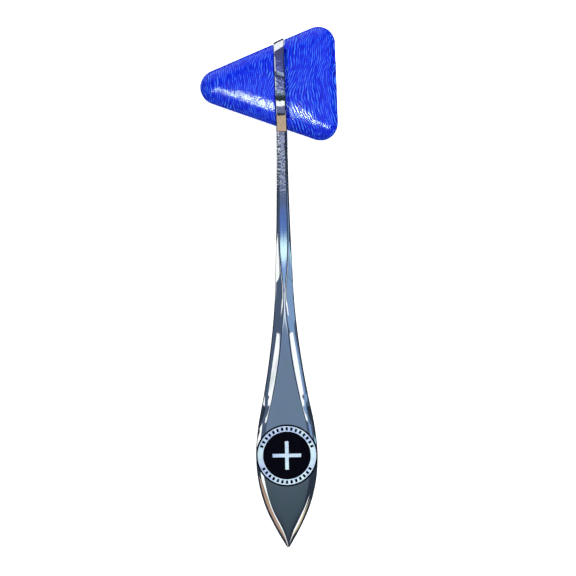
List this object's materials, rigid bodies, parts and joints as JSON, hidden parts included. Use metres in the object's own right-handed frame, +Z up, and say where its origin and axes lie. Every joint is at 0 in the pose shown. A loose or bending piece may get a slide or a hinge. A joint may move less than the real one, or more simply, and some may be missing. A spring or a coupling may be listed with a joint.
{
  "type": "reflex hammer",
  "caption": "Reflex hammer with a blue triangular rubber head held in a metal loop, on a slim chromed handle that widens to a pointed leaf-shaped blade with a round badge.",
  "frame": {"origin": "on the table under the middle of the object's box, with the hammer lying on its back", "axes": "+X across the head towards its broad striking end, +Y along the handle towards the head, +Z up, out of the face with the badge"},
  "size_m": [0.05, 0.1894, 0.0173],
  "materials": {
    "head_rubber": "satin, finely wrinkled",
    "polished_chrome": "polished",
    "badge_film": "satin",
    "badge_ink": "satin"
  },
  "bodies": {
    "root": {"rubber_head": "head_rubber", "head_loop": "polished_chrome", "handle": "polished_chrome", "badge_film": "badge_film", "badge_print": "badge_ink"}
  },
  "joints": []
}
